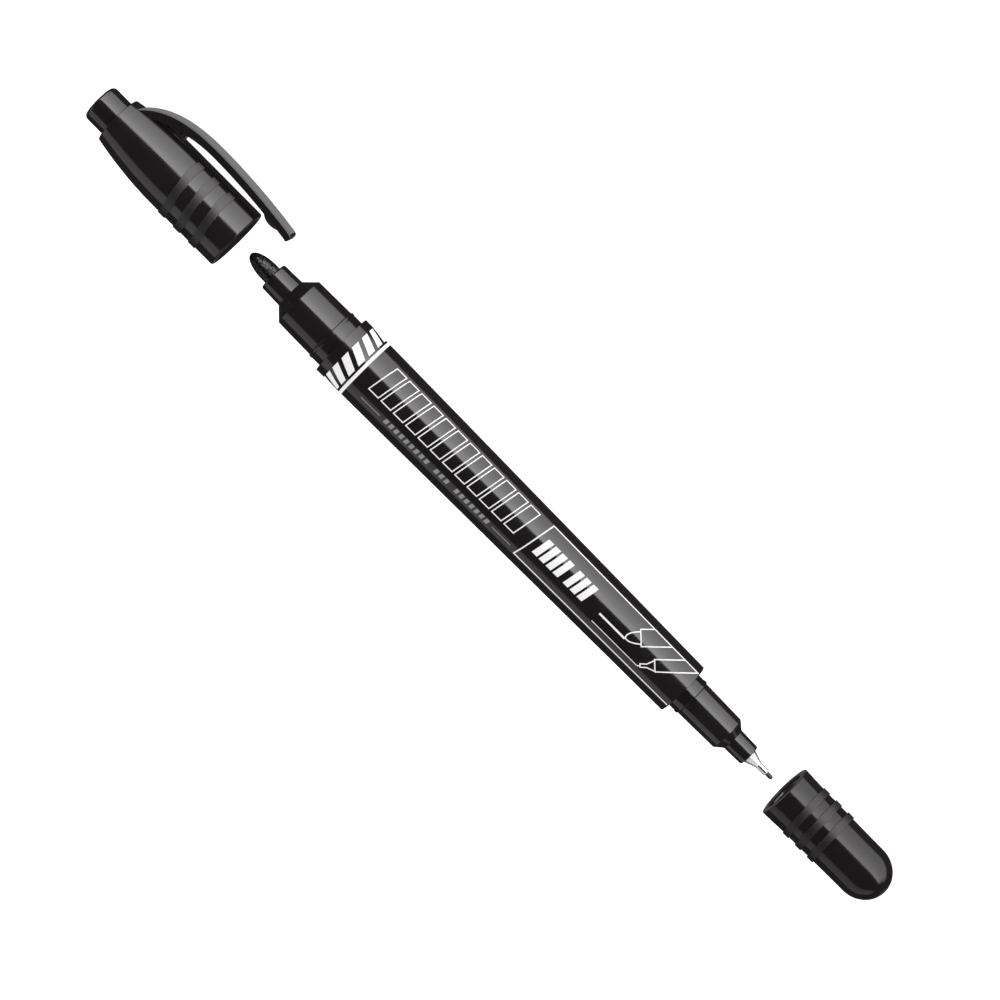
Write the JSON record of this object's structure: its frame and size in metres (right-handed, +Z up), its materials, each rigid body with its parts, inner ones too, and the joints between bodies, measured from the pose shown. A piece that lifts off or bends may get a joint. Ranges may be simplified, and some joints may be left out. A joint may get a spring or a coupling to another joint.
{
  "type": "felt tip marker",
  "caption": "Twin tip marker with a felt bullet nib, a fine nib in a metal sleeve, a capped grip at each end and a pocket clip; both caps pull off along its axis.",
  "frame": {"origin": "middle of the object's box in plan, on the surface that the pen lies on", "axes": "+X along the pen towards the bullet end, +Z up, and the clip points to -Y and a little down so that its edge rests on the surface"},
  "size_m": [0.1862, 0.0154, 0.0121],
  "materials": {
    "barrel_plastic": "gloss black, printed in white and grey",
    "section_plastic": "gloss black moulded plastic",
    "cap_plastic": "gloss black moulded plastic with satin grip rings",
    "liner_plastic": "dark grey soft plastic",
    "nib_felt": "ink-soaked black felt",
    "nib_fibre": "bonded fibre rod, inked dark grey",
    "reservoir_fibre": "ink-soaked fibre bundle",
    "wrap_film": "thin clear film",
    "sleeve_metal": "bright drawn and turned steel"
  },
  "bodies": {
    "pen_body": {"barrel": "barrel_plastic", "bullet_section": "section_plastic", "bullet_nib": "nib_felt", "fine_section": "section_plastic", "fine_nib_sleeve": "sleeve_metal", "fine_nib": "nib_fibre", "ink_reservoir": "reservoir_fibre", "reservoir_wrap": "wrap_film"},
    "bullet_cap": {"bullet_cap_shell": "cap_plastic", "bullet_inner_cap": "cap_plastic"},
    "clip": {"cap_clip": "cap_plastic"},
    "fine_cap": {"fine_cap_shell": "cap_plastic", "fine_inner_cap": "liner_plastic"}
  },
  "joints": [
    {"name": "bullet_cap_slide", "type": "slide", "parent": "pen_body", "child": "bullet_cap", "axis": [-1, 0, 0], "range_m": [0, 0.0244]},
    {"name": "clip_flex", "type": "hinge", "parent": "bullet_cap", "child": "clip", "pos_m": [0.07808, -0.00629, 0.00243], "axis": [0, -0.419, 0.908], "range_deg": [0, 5], "stiffness_Nm_per_rad": 0.5},
    {"name": "fine_cap_slide", "type": "slide", "parent": "pen_body", "child": "fine_cap", "axis": [1, 0, 0], "range_m": [0, 0.0241]}
  ]
}
